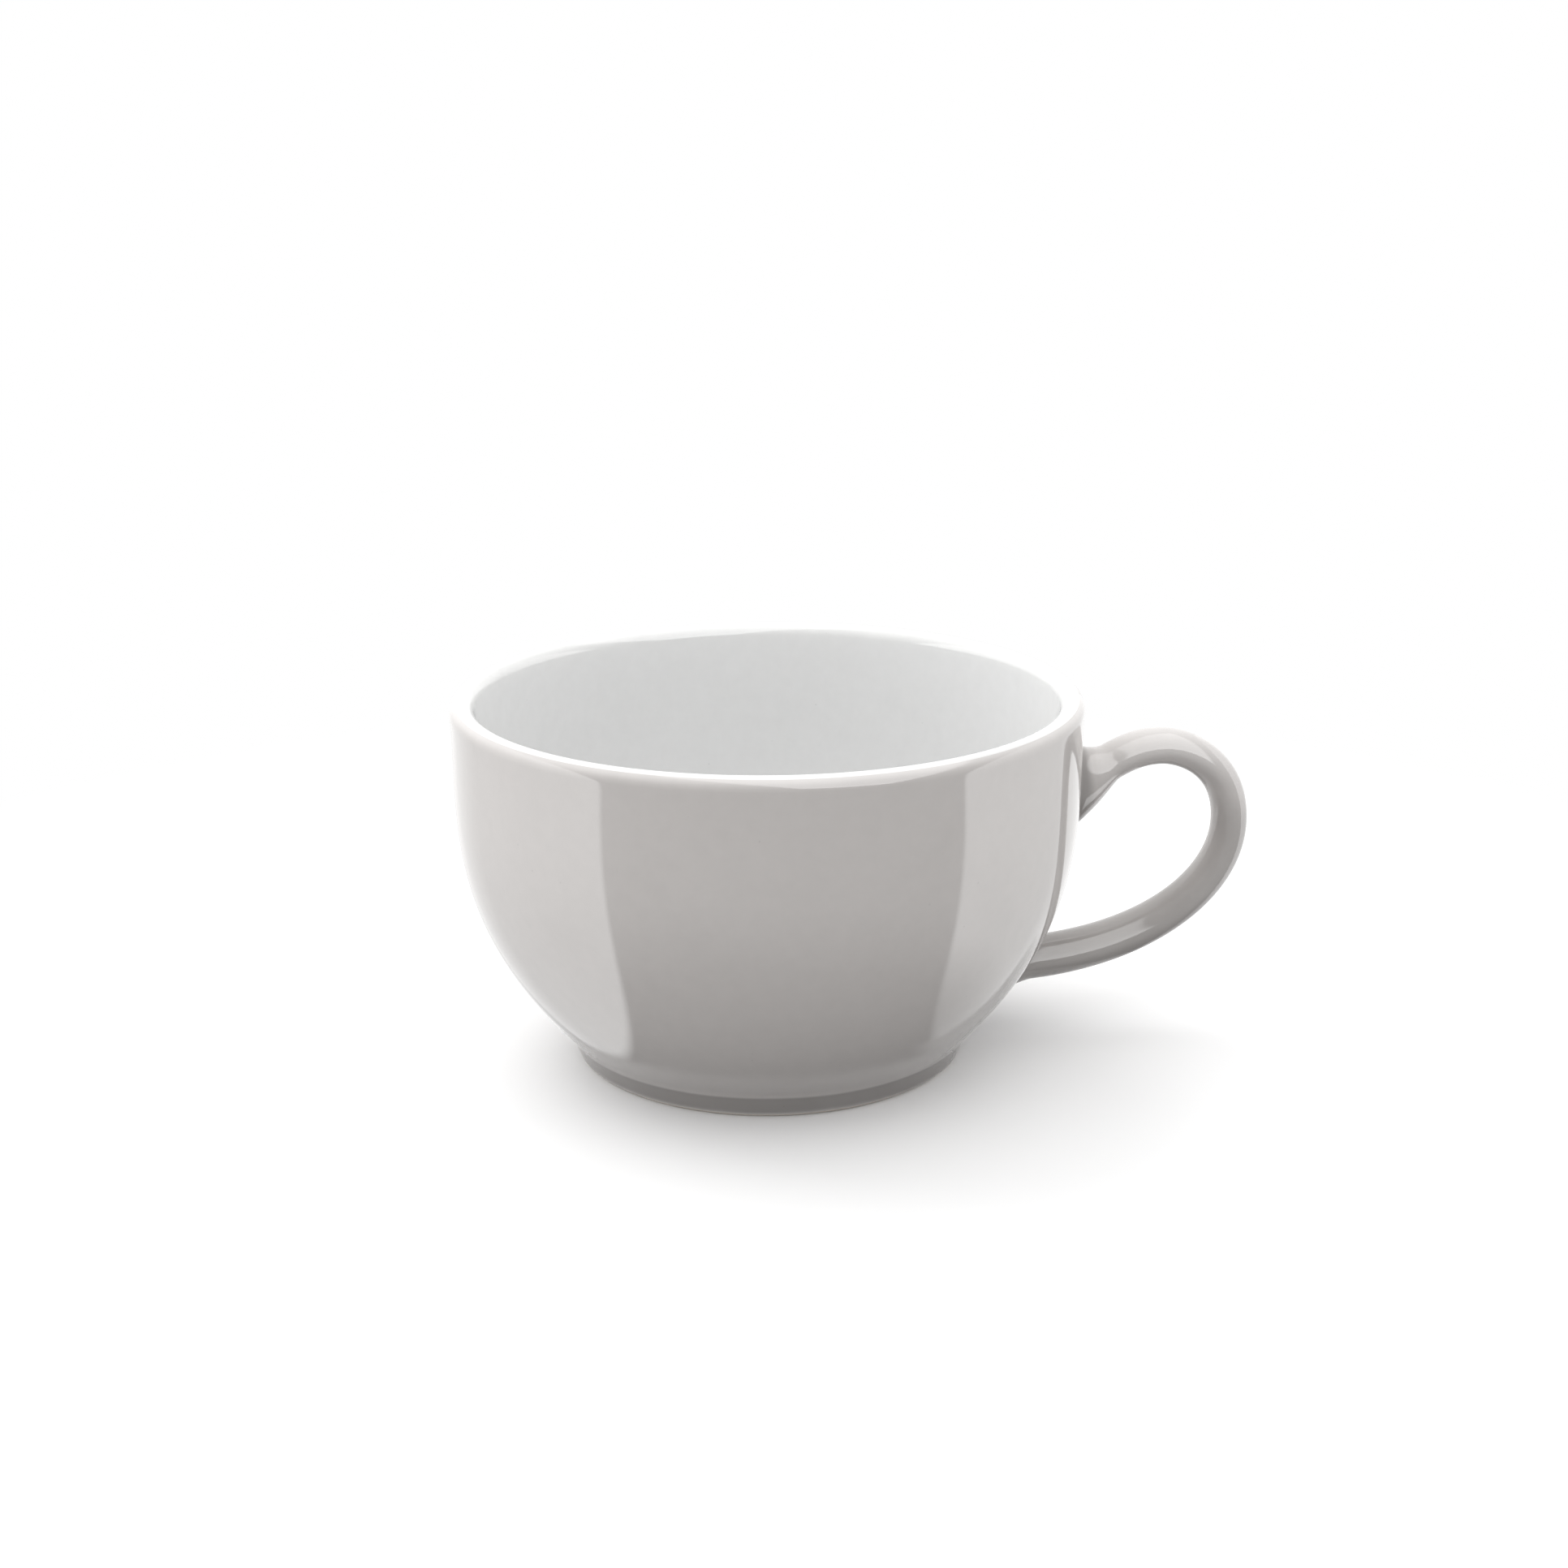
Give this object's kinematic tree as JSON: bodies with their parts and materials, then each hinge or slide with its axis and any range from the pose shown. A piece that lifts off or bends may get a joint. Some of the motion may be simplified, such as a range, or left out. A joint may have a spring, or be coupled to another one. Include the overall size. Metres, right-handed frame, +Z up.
{
  "type": "coffee cup",
  "caption": "Round glazed porcelain coffee cup on a low foot ring, with a loop handle, grey outside and white inside, for hot drinks.",
  "frame": {"origin": "middle of the ground that the cup and its handle cover, on the surface the cup stands on", "axes": "+Z up along the bowl's axis, +X from the bowl towards the handle, +Y completes the right-handed frame"},
  "size_m": [0.13, 0.1, 0.0593],
  "materials": {
    "porcelain": "bare fired porcelain, matt",
    "grey_glaze": "glossy warm grey glaze",
    "white_glaze": "glossy white glaze"
  },
  "bodies": {
    "root": {"cup_body": "porcelain", "handle": "porcelain", "upper_slip_joint": "porcelain", "lower_slip_joint": "porcelain", "outer_glaze": "grey_glaze", "handle_glaze": "grey_glaze", "inner_glaze": "white_glaze", "base_glaze": "white_glaze"}
  },
  "joints": []
}
